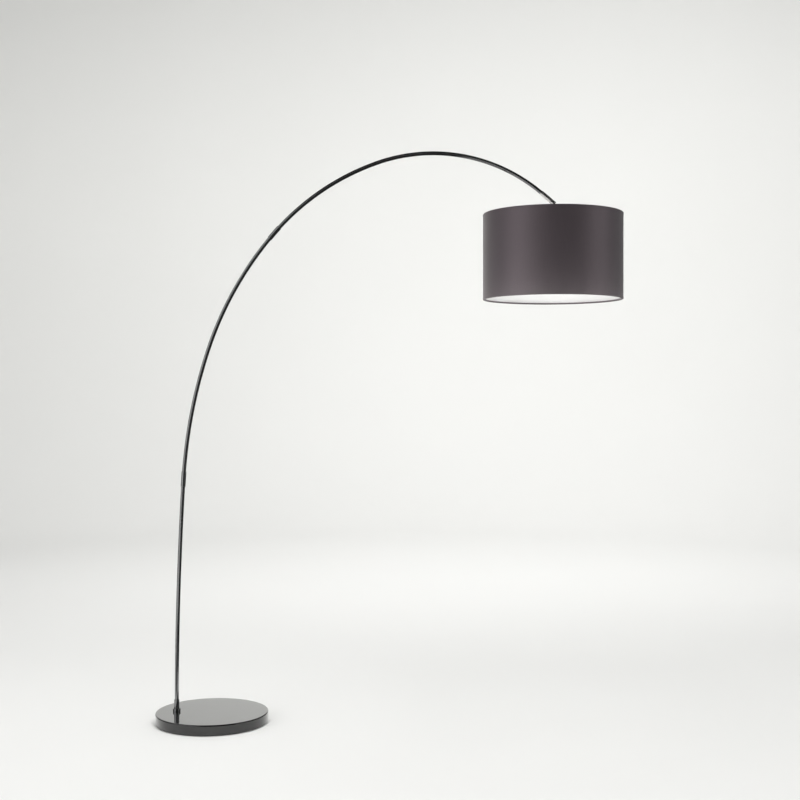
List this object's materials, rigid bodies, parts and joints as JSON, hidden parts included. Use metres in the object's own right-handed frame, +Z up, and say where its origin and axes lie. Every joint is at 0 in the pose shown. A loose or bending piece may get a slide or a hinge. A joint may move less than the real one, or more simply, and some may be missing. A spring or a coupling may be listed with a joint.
{
  "type": "arc floor lamp",
  "caption": "Arc floor lamp: a weighted round base, a slim curved tube in sections and a fabric drum shade that hangs from a tilting knuckle.",
  "frame": {"origin": "centre of the base's underside, where the lamp stands on the floor", "axes": "+Z up, +X from the base towards the shade in the arc's plane, +Y to the lamp's back, where the cable inlet is"},
  "size_m": [1.6676, 0.5, 2.0371],
  "materials": {
    "black_nickel": "glossy black nickel plate",
    "bright_nickel": "polished nickel plate",
    "black_lacquer": "dark plate under clear gloss lacquer",
    "zinc_steel": "zinc plated",
    "concrete": "cast, matt",
    "felt": "non-slip felt",
    "black_plastic": "moulded, satin",
    "lead_sheath": "smooth sheath",
    "brass": "bright pressed sheet",
    "ceramic": "unglazed, smooth",
    "frosted_glass": "frosted inside",
    "white_wire": "powder coat",
    "white_lining": "smooth laminated film",
    "charcoal_fabric": "satin weave"
  },
  "bodies": {
    "base": {"base_pad": "felt", "base_bottom_plate": "zinc_steel", "counterweight": "concrete", "base_cover": "black_lacquer", "bottom_plate_screw_1": "zinc_steel", "bottom_plate_screw_2": "zinc_steel", "bottom_plate_screw_3": "zinc_steel", "pole_socket": "black_nickel", "foot_ring": "black_nickel", "pole_screw": "zinc_steel", "socket_rod": "zinc_steel", "socket_nut": "zinc_steel", "socket_washer": "zinc_steel", "cable_gland": "black_plastic", "gland_nut": "black_plastic", "cord_clamp": "black_plastic", "cord_clamp_screw_1": "zinc_steel", "cord_clamp_screw_2": "zinc_steel", "base_lead": "lead_sheath"},
    "arc": {"lower_tube": "black_nickel", "lower_coupling": "black_nickel", "lower_coupling_screw_1": "zinc_steel", "lower_coupling_screw_2": "zinc_steel", "middle_tube": "black_nickel", "upper_coupling": "black_nickel", "upper_coupling_screw_1": "zinc_steel", "upper_coupling_screw_2": "zinc_steel", "upper_tube": "black_nickel", "end_ferrule": "bright_nickel", "ferrule_screw": "zinc_steel", "pivot_screw": "black_nickel", "pivot_nut": "black_nickel", "arc_lead": "lead_sheath"},
    "head": {"swivel_stem": "black_nickel", "pivot_bush": "zinc_steel", "knuckle_lead": "lead_sheath", "head_lead": "lead_sheath", "stem_nut": "zinc_steel", "holder_cap": "black_plastic", "holder_body": "black_plastic", "holder_insert": "ceramic", "screw_shell": "brass", "centre_contact": "brass", "shade_ring_upper": "black_plastic", "shade_ring_lower": "black_plastic", "bulb_contact": "zinc_steel", "bulb_cap": "brass", "bulb_glass": "frosted_glass", "spider_hub": "white_wire", "spider_arm_1": "white_wire", "spider_arm_2": "white_wire", "spider_arm_3": "white_wire", "shade_top_wire": "white_wire", "shade_bottom_wire": "white_wire", "shade_lining": "white_lining", "shade_fabric": "charcoal_fabric"}
  },
  "joints": [
    {"name": "arc_swivel", "type": "hinge", "parent": "base", "child": "arc", "pos_m": [-0.126, 0, 0.042], "axis": [0, 0, 1], "range_deg": [-90, 90]},
    {"name": "shade_tilt", "type": "hinge", "parent": "arc", "child": "head", "pos_m": [1.2176, 0, 1.8556], "axis": [0, 1, 0], "range_deg": [-30, 30], "deforming": ["knuckle_lead"]}
  ]
}
